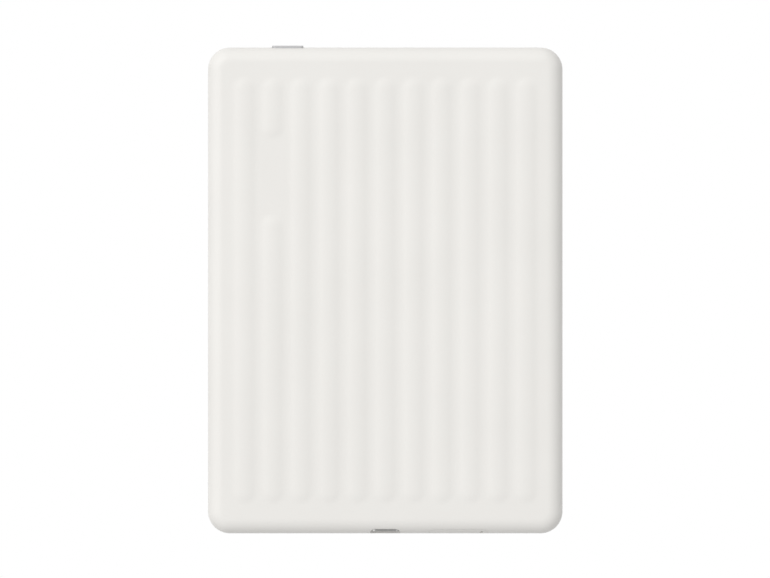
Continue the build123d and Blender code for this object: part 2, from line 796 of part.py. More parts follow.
with BuildPart() as card_socket_cage:
    block(cage_left, cage_right, tab_bottom_y, cage_back_y, board_top, cage_top)
    roof = cage_top - cage_wall
    block(base_left, base_right, tab_bottom_y, cage_back_y, board_top, roof, Mode.SUBTRACT)
    plate(7.0, 4.0, roof, cage_top, 0.5, (frame_x, tab_bottom_y + 10), Mode.SUBTRACT)
save(card_socket_cage.part, "card_socket_cage")

# ---------------------------------------------------------------- card tray
# Its face is cut from the same form as the shell's outside, so the two run flush.
card_half = card_width / 2 + fit
card_high_y = tray_tail_y - 1.0
card_left = frame_x - card_half
card_right = frame_x + card_half
with BuildPart() as card_tray:
    edge_slot(tray_x, tray_height, tray_face_width, tray_face_height, -past_edge, tray_face_back)
    add(outer_form, mode=Mode.INTERSECT)
    block(frame_left, frame_right, tray_face_back, tray_tail_y, tray_low, tray_high)
    block(card_left, card_right, card_high_y - card_length, card_high_y, tray_low, tray_high, Mode.SUBTRACT)
    block(card_left, card_right, card_high_y - 3.0, card_high_y, tray_low, tray_low + 0.15)
    edge_pin(pinhole_x, tray_height, pinhole_radius, -past_edge, tray_face_back, Mode.SUBTRACT)
save(card_tray.part, "card_tray")

# ---------------------------------------------------------------- eject rod and lever
rod_front_y = tray_face_back + running_gap
rod_end_y = lever_y - lever_half - running_gap
rod_x = (pinhole_x - rod_half, pinhole_x + rod_half)
with BuildPart() as eject_rod:
    block(*rod_x, rod_front_y, rod_end_y, lever_low, lever_high)
    block(*rod_x, rod_front_y, rod_front_y + 0.8, tray_height - rod_half, lever_high)
save(eject_rod.part, "eject_rod")

with BuildPart() as eject_lever:
    lever_left = pinhole_x - lever_arm - lever_nose
    block(lever_left, pinhole_x + 0.9, lever_y - lever_half, lever_y + lever_half, lever_low, lever_high)
    fillet(eject_lever.edges().filter_by(Axis.Z), 0.6)
    drum(pivot_radius + fit, lever_low, lever_high, lever_pivot, Mode.SUBTRACT)
save(eject_lever.part, "eject_lever")

with BuildPart() as lever_pivot_post:
    drum(pivot_radius, board_top, lever_high + fit, lever_pivot)
    drum(1.3, board_top, base_top, lever_pivot)
    drum(0.75, lever_high + fit, lever_high + fit + 0.2, lever_pivot)
save(lever_pivot_post.part, "lever_pivot")

# ---------------------------------------------------------------- power button and its switch
plunger_radius = 0.5
nub_radius = 0.8
switch_half = 2.2
switch_low = button_height - 0.75
switch_high = button_height + 0.95
with BuildPart() as power_button:
    cap_front = half_length + button_proud
    edge_slot(button_x, button_height, button_length, button_thickness, flange_front, cap_front)
    fillet(power_button.faces().sort_by(Axis.Y)[-1].edges(), 0.25)
    edge_slot(button_x, button_height, button_length + 2.4, button_thickness, flange_back, flange_front)
    edge_pin(button_x, button_height, nub_radius, plunger_front, flange_back)
save(power_button.part, "power_button")

with BuildPart() as switch_body:
    block(button_x - switch_half, button_x + switch_half, switch_back, switch_front, switch_low, switch_high)
    hole_radius = plunger_radius + 0.25
    edge_pin(button_x, button_height, hole_radius, switch_back + 0.6, switch_front, Mode.SUBTRACT)
save(switch_body.part, "switch_body")

with BuildPart() as switch_plunger:
    edge_pin(button_x, button_height, plunger_radius, switch_front - 0.9, plunger_front)
save(switch_plunger.part, "switch_plunger")

key_flex_face = switch_back - flex_thickness
bracket_face = key_flex_face - bracket_sheet
with BuildPart() as key_bracket:
    block(bracket_left, bracket_right, bracket_face - 5.23, bracket_face, mid_top, bracket_top)
    block(button_x - 3.2, button_x + 3.2, bracket_face, key_flex_face, mid_top, switch_high + 0.45)
    drum(screw_radius + screw_fit, mid_top, bracket_top, bracket_screws, Mode.SUBTRACT)
save(key_bracket.part, "key_bracket")

# ---------------------------------------------------------------- key flex along the left side
key_flex_height = mid_top + flex_thickness / 2
key_turn_x = bracket_left - 0.4
key_climb = board_top_y + 1.4
with BuildPart() as key_flex:
    block(key_turn_x, button_x + 2.6, key_flex_face, switch_back, mid_top, switch_high)
    sheet_top = mid_top + flex_thickness
    block(key_flex_left, key_turn_x + 0.1, switch_back - 3.0, switch_back, mid_top, sheet_top)
    key_course = [
        (switch_back, key_flex_height),
        (key_climb, key_flex_height),
        (key_climb, flex_land),
        (board_top_y - 2.4, flex_land),
    ]
    strip(key_course, flex_bend, key_flex_left, key_flex_right)
save(key_flex.part, "key_flex")

# ---------------------------------------------------------------- antenna and its coax
antenna_low_y = half_length - 15.5
antenna_high_y = half_length - 4.5
carrier_right = coax_x - 6.6
carrier_left = carrier_right - 24.0
carrier_top = coax_height - coax_radius - flex_thickness
coax_start = (carrier_right - 6.0, half_length - 12.0)
coax_end = (half_board - 5.1, board_top_y - 12.0)
plug_size = 2.6
with BuildPart() as antenna_carrier:
    block(carrier_left, carrier_right, antenna_low_y, antenna_high_y, mid_top, carrier_top)
    fillet(antenna_carrier.edges().filter_by(Axis.Z), 1.0)
    hollow_x = (carrier_left + 1.5, carrier_right - 1.5)
    block(*hollow_x, antenna_low_y + 1.5, antenna_high_y - 1.5, mid_top, mid_top + 0.85, Mode.SUBTRACT)
save(antenna_carrier.part, "antenna_carrier")

with BuildPart() as antenna_flex:
    foil_x = (carrier_left + 0.8, carrier_right - 0.8)
    foil_top = carrier_top + flex_thickness
    block(*foil_x, antenna_low_y + 0.8, antenna_high_y - 0.8, carrier_top, foil_top)
    with Locations((carrier_left + 8.0, antenna_high_y - 4.0, carrier_top)):
        with GridLocations(3.0, 1, 4, 1):
            Box(0.8, 8.0, 1.0, mode=Mode.SUBTRACT)
save(antenna_flex.part, "antenna_flex")

with BuildPart() as antenna_coax:
    with BuildLine(Plane.XY.offset(coax_height)) as route:
        corners = ((coax_x, coax_start[1]), (coax_x, coax_end[1]))
        FilletPolyline(coax_start, *corners, coax_end, radius=coax_bend)
    with BuildSketch(Plane(origin=route.line @ 0, z_dir=route.line % 0)):
        Circle(coax_radius)
    sweep(path=route.line)
save(antenna_coax.part, "antenna_coax")

with BuildPart() as antenna_plug:
    plug_x = coax_end[0] - plug_size / 2
    plate(plug_size, plug_size, board_top, coax_height + coax_radius, centre=(plug_x, coax_end[1]))
save(antenna_plug.part, "antenna_plug")
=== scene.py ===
import math

import bmesh
import bpy
from mathutils import Matrix, Vector


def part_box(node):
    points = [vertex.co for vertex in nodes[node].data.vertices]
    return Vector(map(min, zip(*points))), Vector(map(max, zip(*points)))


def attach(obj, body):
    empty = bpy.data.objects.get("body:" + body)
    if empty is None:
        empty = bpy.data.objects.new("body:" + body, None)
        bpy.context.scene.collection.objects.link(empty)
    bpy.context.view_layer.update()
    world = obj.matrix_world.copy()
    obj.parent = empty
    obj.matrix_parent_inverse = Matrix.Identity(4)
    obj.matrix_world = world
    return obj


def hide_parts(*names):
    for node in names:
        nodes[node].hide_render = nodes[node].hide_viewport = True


# A six-inch e-reader lying on its glass, seen from behind. Every mesh is drawn in millimetres and
# brought to metres when its piece is finished.
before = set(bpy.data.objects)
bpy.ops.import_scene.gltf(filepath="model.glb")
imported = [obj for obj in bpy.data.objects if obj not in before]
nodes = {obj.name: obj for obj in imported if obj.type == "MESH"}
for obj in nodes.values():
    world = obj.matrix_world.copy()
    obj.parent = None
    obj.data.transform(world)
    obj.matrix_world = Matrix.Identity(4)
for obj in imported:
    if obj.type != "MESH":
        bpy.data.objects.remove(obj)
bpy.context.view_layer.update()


# ================================================================ rear shell
# The back cover is one moulding of white PC-ABS. Its mould was spark-eroded, so it is matte, and
# eleven soft ribs run down it. It snaps over the front frame, leaving a fine seam all round.


def linear(code):
    """An sRGB hex colour as the linear colour that Blender's sockets take."""
    shares = [int(code[i : i + 2], 16) / 255 for i in (1, 3, 5)]
    return [s / 12.92 if s <= 0.04045 else ((s + 0.055) / 1.055) ** 2.4 for s in shares] + [1.0]


def put(tree, kind, inputs=None, **settings):
    """Adds a shader node with its settings. Its inputs get values, or links from other sockets."""
    made = tree.nodes.new("ShaderNode" + kind)
    for name, value in settings.items():
        setattr(made, name, value)
    for key, value in (inputs or {}).items():
        if isinstance(value, bpy.types.NodeSocket):
            tree.links.new(value, made.inputs[key])
        else:
            made.inputs[key].default_value = value
    return made


def new_material(name):
    """An empty material, its node tree, and the tree's Object coordinates."""
    made = bpy.data.materials.new(name)
    made.use_nodes = True
    made.node_tree.nodes.clear()
    place = put(made.node_tree, "TexCoord").outputs["Object"]
    return made, made.node_tree, place


def corners_mm(node):
    """The lowest and highest corners of a CAD node, in millimetres."""
    low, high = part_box(node)
    return low * 1000, high * 1000


def rounded_block(bm, low, high, corner, segments):
    """A block between two corners whose four upright edges are rounded."""
    size = high - low
    matrix = Matrix.Translation((low + high) / 2) @ Matrix.Diagonal((*size, 1))
    verts = bmesh.ops.create_cube(bm, size=1, matrix=matrix)["verts"]
    edges = {e for v in verts for e in v.link_edges}
    upright = [e for e in edges if abs(e.verts[0].co.z - e.verts[1].co.z) > size.z / 2]
    bmesh.ops.bevel(
        bm, geom=upright, offset=corner, segments=segments, profile=0.5, affect="EDGES", material=-1
    )


def flat_face(bm, axis, place):
    """The largest face that lies square to an axis at a place on it."""
    found = [
        f
        for f in bm.faces
        if abs(f.normal[axis]) > 0.999 and abs(f.calc_center_median()[axis] - place) < 1e-4
    ]
    return max(found, key=lambda f: f.calc_area())


def round_edge(bm, face, radius, segments):
    """Rounds the edges round a face."""
    bmesh.ops.bevel(
        bm,
        geom=list(face.edges),
        offset=radius,
        segments=segments,
        profile=0.5,
        affect="EDGES",
        material=-1,
        clamp_overlap=True,
    )


def push(bm, face, x=0.0, y=0.0, z=0.0):
    """Extrudes a face straight along a vector and returns the moved face."""
    moved = bmesh.ops.extrude_discrete_faces(bm, faces=[face])["faces"][0]
    bmesh.ops.translate(bm, vec=(x, y, z), verts=moved.verts)
    return moved


def inset(bm, face, width):
    """Insets a face and returns its inner part."""
    bmesh.ops.inset_region(bm, faces=[face], thickness=width, use_even_offset=True)
    return face


def edge_slot(bm, x, z, width, thickness, front, back, segments=12):
    """A bar with half-round ends, running along Y between two places."""
    matrix = Matrix.Translation((x, (front + back) / 2, z))
    matrix = matrix @ Matrix.Diagonal((width, back - front, thickness, 1))
    verts = bmesh.ops.create_cube(bm, size=1, matrix=matrix)["verts"]
    edges = {e for v in verts for e in v.link_edges}
    along = [e for e in edges if abs(e.verts[0].co.y - e.verts[1].co.y) > (back - front) / 2]
    sliver = 0.001  # of flat face that stays between the two round corners of an end
    radius = thickness / 2 - sliver
    bmesh.ops.bevel(
        bm, geom=along, offset=radius, segments=segments, profile=0.5, affect="EDGES", material=-1
    )


def loose_object(bm, name):
    """A bmesh in millimetres as an object in metres, for use as a piece or as a cutter."""
    bmesh.ops.scale(bm, vec=(0.001, 0.001, 0.001), verts=bm.verts)
    mesh = bpy.data.meshes.new(name)
    bm.to_mesh(mesh)
    bm.free()
    made = bpy.data.objects.new(name, mesh)
    bpy.context.scene.collection.objects.link(made)
    return made


def cut(target, operation, *cutters):
    """Cuts an object with others, or keeps what they share, and removes them."""
    for cutter in cutters:
        step = target.modifiers.new("cut", "BOOLEAN")
        step.operation = operation
        step.solver = "EXACT"
        step.object = cutter
    shape = bpy.data.meshes.new_from_object(
        target.evaluated_get(bpy.context.evaluated_depsgraph_get())
    )
    target.modifiers.clear()
    target.data = shape
    for cutter in cutters:
        bpy.data.objects.remove(cutter)


def finish_piece(made, material, body, slot, *replaced):
    """Gives an object its material, smooths its faces up to an angle, hangs it on a body of the
    e-reader and hides the CAD nodes it stands for.
    """
    smooth_limit = math.radians(32.0)
    made.data.materials.clear()
    made.data.materials.append(material)
    made.data.shade_smooth()
    made.data.set_sharp_from_angle(angle=smooth_limit)
    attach(made, body)
    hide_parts(*replaced)


shell_low, shell_high = corners_mm("rear_shell")
corner_radius = 6.7
back_edge_radius = 4.6
seam_height = shell_low.z
seam_gap = 0.12
seam_top = seam_height + seam_gap
seam_depth = 0.6
side_wall = 1.3
back_wall = 1.15
rib_height = 0.36
border_height = shell_high.z - rib_height
ceiling_height = border_height - back_wall
rib_count = 11
rib_side_margin = 6.975
rib_end_margin = 8.5
crest_share = 0.57
rib_half = (shell_high.x - rib_side_margin) / rib_count
rib_crest_half = rib_half * crest_share
rib_tilt = 2 * math.atan(rib_height / rib_half)
crest_radius = rib_crest_half / math.sin(rib_tilt)
valley_radius = (rib_half - rib_crest_half) / math.sin(rib_tilt)
rib_field_half = shell_high.y - rib_end_margin
broken_rib = 1
land_margin = 28.6
land_length = 21.6
land_high = shell_high.y - land_margin
land_low = land_high - land_length


def rib_rise(away):
    """How high a rib stands at that distance from its middle line or from the centre of its end."""
    if away >= rib_half:
        return 0.0
    if away > rib_crest_half:
        return valley_radius - math.sqrt(valley_radius**2 - (rib_half - away) ** 2)
    return rib_height - crest_radius + math.sqrt(crest_radius**2 - away**2)


def back_rise(x, y):
    """How high the back stands above its border at a place."""
    index = min(int((x / rib_half + rib_count) / 2), rib_count - 1)
    across = x - (2 * index + 1 - rib_count) * rib_half
    spans = [(-rib_field_half, rib_field_half)]
    if index == broken_rib:
        spans = [(-rib_field_half, land_low), (land_high, rib_field_half)]
    rise = 0.0
    for start, end in spans:
        past = max(start + rib_half - y, y - end + rib_half, 0.0)
        rise = max(rise, rib_rise(math.hypot(across, past)))
    return rise


def smooth_form(bm):
    """The e-reader's outside above the seam, with its rounded back edge but without the ribs."""
    low = Vector((shell_low.x, shell_low.y, seam_top))
    rounded_block(bm, low, Vector((shell_high.x, shell_high.y, border_height)), corner_radius, 20)
    round_edge(bm, flat_face(bm, 2, border_height), back_edge_radius, 18)


def ribbed_form(bm):
    """The same with the ribs on its back."""
    smooth_form(bm)
    rim_width = 0.3
    border = inset(bm, flat_face(bm, 2, border_height), rim_width)
    rim = list(border.edges)
    bmesh.ops.delete(bm, geom=[border], context="FACES_ONLY")

    # The rib field is a grid: even columns, and rows gathered where a rib ends.
    ends = [-rib_field_half, land_low - rib_half, land_high, rib_field_half - rib_half]
    rows_per_end = 12
    columns_per_rib = 22
    steps = range(rows_per_end + 1)
    rows = [start + rib_half * step / rows_per_end for start in ends for step in steps]
    columns = rib_count * columns_per_rib
    matrix = Matrix.Translation((0, 0, border_height))
    bmesh.ops.create_grid(bm, x_segments=columns, y_segments=len(rows) - 1, size=1, matrix=matrix)
    field = [v for v in bm.verts if abs(v.co.x) <= 1.0001 and abs(v.co.y) <= 1.0001]
    for vert in field:
        vert.co.x *= rib_half * rib_count
        vert.co.y = rows[round((vert.co.y + 1) / 2 * (len(rows) - 1))]
    outline = [e for v in field for e in v.link_edges if e.is_boundary]
    for vert in field:
        vert.co.z += back_rise(vert.co.x, vert.co.y)
    bmesh.ops.triangle_fill(bm, use_beauty=True, edges=list(set(outline + rim)))


shell_mesh = bmesh.new()
ribbed_form(shell_mesh)
floor_face = inset(shell_mesh, flat_face(shell_mesh, 2, seam_top), seam_depth)
floor_face = push(shell_mesh, floor_face, z=seam_height - seam_top)
floor_face = inset(shell_mesh, floor_face, side_wall - seam_depth)
floor_face = push(shell_mesh, floor_face, z=ceiling_height - seam_height)
round_edge(shell_mesh, floor_face, back_edge_radius - side_wall, 8)
bmesh.ops.recalc_face_normals(shell_mesh, faces=shell_mesh.faces)
rear_shell = loose_object(shell_mesh, "rear_shell_moulding")

# Three mouths are cut through its edges: the charging port's, the card tray's and the button's.
port_low, port_high = corners_mm("usb_shell")
port_height = 3.45
tray_low, tray_high = corners_mm("card_tray")
tray_x = (tray_low.x + tray_high.x) / 2
tray_height = 3.7
button_low, button_high = corners_mm("power_button")
button_x = (button_low.x + button_high.x) / 2
button_height = 2.4
below_edge = shell_low.y - 1
above_edge = shell_high.y + 1
# Each has a name, its middle, its width and height, and the two places along Y it is cut between.
mouths = (
    ("port_mouth", 0, port_height, 9.3, 3.45, below_edge, below_edge + 7),
    ("tray_mouth", tray_x, tray_height, 17.8, 2.6, below_edge, below_edge + 6),
    ("button_mouth", button_x, button_height, 10.2, 2.0, above_edge - 6, above_edge),
)
cutters = []
for mouth_name, *mouth in mouths:
    mouth_mesh = bmesh.new()
    edge_slot(mouth_mesh, *mouth, segments=16)
    cutters.append(loose_object(mouth_mesh, mouth_name))
cut(rear_shell, "DIFFERENCE", *cutters)

# White PC-ABS from a spark-eroded mould: soft and matte, with no sharp reflection, and a pale warm
# white that is never quite even. Its real grain of about 0.05 mm is drawn three times as coarse.
shell_plastic, tree, place = new_material("white_pc_abs_moulded_matte")
clouds = put(tree, "TexNoise", {"Vector": place, "Scale": 45.0, "Detail": 3.0})
grain = put(tree, "TexNoise", {"Vector": place, "Scale": 6500.0, "Detail": 2.0})
tone = put(tree, "ValToRGB", {"Fac": clouds.outputs["Fac"]})
tone.color_ramp.elements[0].position = 0.3
tone.color_ramp.elements[0].color = linear("#EBE9E5")
tone.color_ramp.elements[1].position = 0.7
tone.color_ramp.elements[1].color = linear("#EDEBE7")
speck = put(tree, "MapRange", {"Value": grain.outputs["Fac"], "To Min": 0.97, "To Max": 1.03})
colour = put(tree, "VectorMath", {0: tone.outputs["Color"]}, operation="SCALE")
tree.links.new(speck.outputs["Result"], colour.inputs["Scale"])
rough = put(tree, "MapRange", {"Value": grain.outputs["Fac"], "To Min": 0.5, "To Max": 0.66})
edges = put(tree, "Bevel", {"Radius": 0.00012})
bump = put(
    tree,
    "Bump",
    {
        "Height": grain.outputs["Fac"],
        "Normal": edges.outputs["Normal"],
        "Distance": 0.00002,
        "Strength": 0.35,
    },
)
surface = put(
    tree,
    "BsdfPrincipled",
    {
        "Base Color": colour.outputs["Vector"],
        "Roughness": rough.outputs["Result"],
        "Normal": bump.outputs["Normal"],
        "IOR": 1.57,
    },
)
put(tree, "OutputMaterial", {"Surface": surface.outputs["BSDF"]})
finish_piece(rear_shell, shell_plastic, "base", "shell_plastic", "rear_shell")


# ================================================================ front frame
# A moulded ring of the same plastic round the glass. It carries the display on its ledge, and its
# inner wall holds the screw bosses, and the snap noses that the rear shell clicks over.


def add_block(bm, low, high):
    """A plain block between two corners."""
    low, high = Vector(low), Vector(high)
    matrix = Matrix.Translation((low + high) / 2) @ Matrix.Diagonal((*(high - low), 1))
    bmesh.ops.create_cube(bm, size=1, matrix=matrix)


def add_post(bm, radius, low, high, x, y):
    """An upright round post between two heights."""
    matrix = Matrix.Translation((x, y, (low + high) / 2))
    bmesh.ops.create_cone(
        bm,
        cap_ends=True,
        segments=28,
        radius1=radius,
        radius2=radius,
        depth=high - low,
        matrix=matrix,
    )


rim_low, rim_high = corners_mm("front_frame")
rim_width = 1.6
rim_edge_radius = 0.5
ledge_front = 0.7
ledge_back = 1.25
ledge_width = 2.0
frame_wall = 1.2
wall_setback = 1.45

frame_mesh = bmesh.new()
rim_top = Vector((rim_high.x, rim_high.y, seam_height))
rounded_block(frame_mesh, rim_low, rim_top, corner_radius, 20)
round_edge(frame_mesh, flat_face(frame_mesh, 2, rim_low.z), rim_edge_radius, 6)
pocket = inset(frame_mesh, flat_face(frame_mesh, 2, rim_low.z), rim_width - rim_edge_radius)
pocket = push(frame_mesh, pocket, z=ledge_front)
pocket = inset(frame_mesh, pocket, ledge_width)
wall = inset(frame_mesh, flat_face(frame_mesh, 2, seam_height), wall_setback)
wall = push(frame_mesh, wall, z=rim_high.z - seam_height)
wall = inset(frame_mesh, wall, frame_wall)
wall = push(frame_mesh, wall, z=ledge_back - rim_high.z)
wall = inset(frame_mesh, wall, rim_width + ledge_width - wall_setback - frame_wall)
opening = list(pocket.edges) + list(wall.edges)
bmesh.ops.delete(frame_mesh, geom=[pocket, wall], context="FACES_ONLY")
bmesh.ops.bridge_loops(frame_mesh, edges=opening)
bmesh.ops.recalc_face_normals(frame_mesh, faces=frame_mesh.faces)
front_frame = loose_object(frame_mesh, "front_frame_moulding")

# Its wall is notched behind the button and behind the port.
button_notch = (button_x - 6.75, button_x + 6.75)
port_notch = (-5.05, 5.05)
notch_top = 3
notch_mesh = bmesh.new()
add_block(notch_mesh, (button_notch[0], 68, ledge_back), (button_notch[1], 74, notch_top))
add_block(notch_mesh, (port_notch[0], -74, ledge_back), (port_notch[1], -70, notch_top))
cut(front_frame, "DIFFERENCE", loose_object(notch_mesh, "notches"))

boss_y = 69.6
boss_places = [(x, boss_y) for x in (-46, 0, 46)] + [(x, -boss_y) for x in (-48.2, 48.2)]
boss_radius, boss_foot, boss_top = 1.5, 0.95, rim_high.z - 0.001
hole_radius, hole_foot, hole_top = 0.7, 1.1, 3.0
boss_mesh = bmesh.new()
hole_mesh = bmesh.new()
for boss_place in boss_places:
    add_post(boss_mesh, boss_radius, boss_foot, boss_top, *boss_place)
    add_post(hole_mesh, hole_radius, hole_foot, hole_top, *boss_place)

# The snap noses stand on the wall: four on each long side, and two on each short one.
snap_reach = 0.6
snap_half = 2.5
snap_foot, snap_top = 1.3, 1.8
snaps = []
for side in (-1, 1):
    snaps += [(side * 52.3, y, snap_reach, snap_half) for y in (-52, -18, 18, 52)]
    snaps += [(side * 42, end * 72.3, snap_half, snap_reach) for end in (-1, 1)]
for x, y, half_x, half_y in snaps:
    add_block(boss_mesh, (x - half_x, y - half_y, snap_foot), (x + half_x, y + half_y, snap_top))
cut(front_frame, "UNION", loose_object(boss_mesh, "bosses_and_snaps"))
cut(front_frame, "DIFFERENCE", loose_object(hole_mesh, "boss_holes"))
finish_piece(front_frame, shell_plastic, "base", "shell_plastic", "front_frame")


# ================================================================ cover glass and its print
# A 0.6 mm sheet of chemically strengthened glass, cut and ground round its edge, etched against
# glare in front and printed with a black border behind. Black tape holds it to the frame's ledge.


def give_finish(material, *names):
    """Gives CAD nodes a material."""
    for name in names:
        for held in nodes[name].material_slots:
            held.material = material


def patterned_surface(tree, pattern, colours, rough, relief=0.0, **sockets):
    """Closes a material whose colour follows one pattern, and its roughness and relief too."""
    low, high = (linear(code) for code in colours)
    tone = put(tree, "Mix", {0: pattern, 6: low, 7: high}, data_type="RGBA")
    sockets.update({"Base Color": tone.outputs[2], "Roughness": rough})
    if isinstance(rough, tuple):
        spread = put(tree, "MapRange", {"Value": pattern, "To Min": rough[0], "To Max": rough[1]})
        sockets["Roughness"] = spread.outputs["Result"]
    if relief:
        bump = put(tree, "Bump", {"Height": pattern, "Distance": relief})
        sockets["Normal"] = bump.outputs["Normal"]
    surface = put(tree, "BsdfPrincipled", sockets)
    put(tree, "OutputMaterial", {"Surface": surface.outputs["BSDF"]})


glass_low, glass_high = corners_mm("cover_glass")
glass_mesh = bmesh.new()
glass_corner = 5.0
ground_edge = 0.1
rounded_block(glass_mesh, glass_low, glass_high, glass_corner, 20)
round_edge(glass_mesh, flat_face(glass_mesh, 2, glass_low.z), ground_edge, 3)
cover_glass = loose_object(glass_mesh, "cover_glass_sheet")

# Etched aluminosilicate glass: almost clear, with a reflection that is blurred a little, because
# its face is covered in shallow pits. They are about 0.02 mm wide, and are drawn 0.2 mm wide.
etched_glass, tree, place = new_material("aluminosilicate_glass_etched")
pits = put(tree, "TexNoise", {"Vector": place, "Scale": 5000.0, "Detail": 2.0})
relief = put(tree, "Bump", {"Height": pits.outputs["Fac"], "Distance": 0.000004, "Strength": 0.3})
blur = put(tree, "MapRange", {"Value": pits.outputs["Fac"], "To Min": 0.14, "To Max": 0.24})
through = put(tree, "BsdfTransparent", {"Color": linear("#FBFBFB")})
shine = put(
    tree,
    "BsdfAnisotropic",
    {
        "Color": (1, 1, 1, 1),
        "Roughness": blur.outputs["Result"],
        "Normal": relief.outputs["Normal"],
    },
)
gloss = put(tree, "Fresnel", {"IOR": 1.5, "Normal": relief.outputs["Normal"]})
side = put(tree, "NewGeometry")
front = put(
    tree, "Math", {0: gloss.outputs["Fac"], 1: side.outputs["Backfacing"]}, operation="SUBTRACT"
)
front.use_clamp = True
sheet = put(
    tree,
    "MixShader",
    {0: front.outputs[0], 1: through.outputs["BSDF"], 2: shine.outputs["BSDF"]},
)
put(tree, "OutputMaterial", {"Surface": sheet.outputs["Shader"]})
finish_piece(cover_glass, etched_glass, "base", "screen_glass", "cover_glass")

# Black ink, screen printed on the glass: even and dense, with the faint weave of its 0.08 mm mesh,
# drawn four times as coarse. It is bonded to the glass, so it has almost no reflection of its own.
print_ink, tree, place = new_material("screen_printed_black_ink")
mesh_weave = put(tree, "TexNoise", {"Vector": place, "Scale": 3000.0, "Detail": 1.0})
patterned_surface(
    tree, mesh_weave.outputs["Fac"], ("#161718", "#1D1E1F"), rough=(0.42, 0.55), IOR=1.12
)
give_finish(print_ink, "bezel_print")

# Closed-cell polyurethane and acrylic foam tape: soft, dull and black, with cells of about 0.1 mm.
foam_tape, tree, place = new_material("polyurethane_foam_black")
cells = put(tree, "TexVoronoi", {"Vector": place, "Scale": 5000.0})
patterned_surface(
    tree, cells.outputs["Distance"], ("#2B2B2C", "#141415"), rough=0.92, relief=0.00003
)
give_finish(foam_tape, "glass_adhesive", "display_foam", "battery_tape")


# ================================================================ display stack
# Behind the glass lie a touch film, a moulded light guide, the ink film and the glass backplane
# that drives it, laminated in one stack. It is off, so the ink film shows a blank paper grey.

# Clear PET film printed with a fine grid of conductor, which only just tints it.
touch_film, tree, place = new_material("pet_film_with_conductor_grid")
grid = put(
    tree,
    "TexBrick",
    {
        "Vector": place,
        "Scale": 100.0,
        "Color1": linear("#FDFDFD"),
        "Color2": linear("#FCFCFC"),
        "Mortar": linear("#FAFAFA"),
        "Mortar Size": 0.006,
        "Brick Width": 0.4,
        "Row Height": 0.4,
    },
    offset=0.0,
)
through = put(tree, "BsdfTransparent", {"Color": grid.outputs["Color"]})
put(tree, "OutputMaterial", {"Surface": through.outputs["BSDF"]})
give_finish(touch_film, "touch_sensor")

# Injection moulded acrylic. Rows of tiny dots on it scatter the light of the LEDs at its foot, and
# are 0.05 mm wide; they are drawn at 0.5 mm, and so faint that they only take off some clearness.
guide_acrylic, tree, place = new_material("acrylic_light_guide_dotted")
dots = put(tree, "TexVoronoi", {"Vector": place, "Scale": 2000.0, "Randomness": 0.3})
haze = put(tree, "MapRange", {"Value": dots.outputs["Distance"], "To Min": 0.03, "To Max": 0.0})
through = put(tree, "BsdfTransparent", {"Color": linear("#FDFDFD")})
scatter = put(tree, "BsdfDiffuse", {"Color": linear("#F2F4F4")})
sheet = put(
    tree,
    "MixShader",
    {0: haze.outputs["Result"], 1: through.outputs["BSDF"], 2: scatter.outputs["BSDF"]},
)
put(tree, "OutputMaterial", {"Surface": sheet.outputs["Shader"]})
give_finish(guide_acrylic, "light_guide")

# Electrophoretic film: a layer of ink capsules 0.05 mm wide, drawn at 0.25 mm. It looks like pale
# grey paper, dull and slightly grainy.
ink_film, tree, place = new_material("electrophoretic_ink_film")
capsules = put(tree, "TexVoronoi", {"Vector": place, "Scale": 4000.0})
patches = put(tree, "TexNoise", {"Vector": place, "Scale": 60.0, "Detail": 2.0})
grain = put(
    tree,
    "Mix",
    {0: capsules.outputs["Distance"], 6: linear("#DAD8D3"), 7: linear("#D1CFCA")},
    data_type="RGBA",
)
tone = put(
    tree,
    "Mix",
    {0: patches.outputs["Fac"], 6: grain.outputs[2], 7: linear("#D6D4CE")},
    data_type="RGBA",
)
relief = put(tree, "Bump", {"Height": capsules.outputs["Distance"], "Distance": 0.000005})
surface = put(
    tree,
    "BsdfPrincipled",
    {"Base Color": tone.outputs[2], "Roughness": 0.82, "Normal": relief.outputs["Normal"]},
)
put(tree, "OutputMaterial", {"Surface": surface.outputs["BSDF"]})
give_finish(ink_film, "eink_film")

# Thin display glass with a matrix of transistors and fine metal lines, which make it grey. The
# lines lie 0.085 mm apart, and are drawn 0.85 mm apart.
panel_glass, tree, place = new_material("display_glass_with_transistor_matrix")
lines = put(
    tree,
    "TexBrick",
    {
        "Vector": place,
        "Scale": 100.0,
        "Color1": linear("#6A706E"),
        "Color2": linear("#666C6B"),
        "Mortar": linear("#8B8F8C"),
        "Mortar Size": 0.008,
        "Brick Width": 0.085,
        "Row Height": 0.085,
    },
    offset=0.0,
)
surface = put(
    tree,
    "BsdfPrincipled",
    {"Base Color": lines.outputs["Color"], "Roughness": 0.14, "IOR": 1.52, "Coat Weight": 0.3},
)
put(tree, "OutputMaterial", {"Surface": surface.outputs["BSDF"]})
give_finish(panel_glass, "tft_backplane")

# The two driver chips are bare silicon, bonded to the backplane: dark, polished, with faint blocks.
silicon, tree, place = new_material("silicon_die_polished")
blocks = put(tree, "TexVoronoi", {"Vector": place, "Scale": 1500.0}, distance="CHEBYCHEV")
patterned_surface(
    tree, blocks.outputs["Distance"], ("#34363C", "#44464E"), rough=0.18, Metallic=0.4
)
give_finish(silicon, "display_drivers")


# ================================================================ frontlight and flexes
# A strip of sixteen LEDs shines into the light guide's lower edge. The strip, the display, the
# touch film and the power key each run to the mainboard in a flex of amber polyimide.

# Etched copper lines show through the amber film as darker bands, 0.5 mm apart.
flex_film, tree, place = new_material("polyimide_flex_with_copper")
tracks = put(tree, "TexWave", {"Vector": place, "Scale": 628.0, "Distortion": 0.4, "Detail": 1.0})
patterned_surface(
    tree,
    tracks.outputs["Fac"],
    ("#B06A1E", "#C98A35"),
    rough=(0.26, 0.36),
    relief=0.00002,
    IOR=1.65,
)
give_finish(
    flex_film, "frontlight_strip", "display_flex", "touch_flex", "key_flex", "antenna_flex"
)

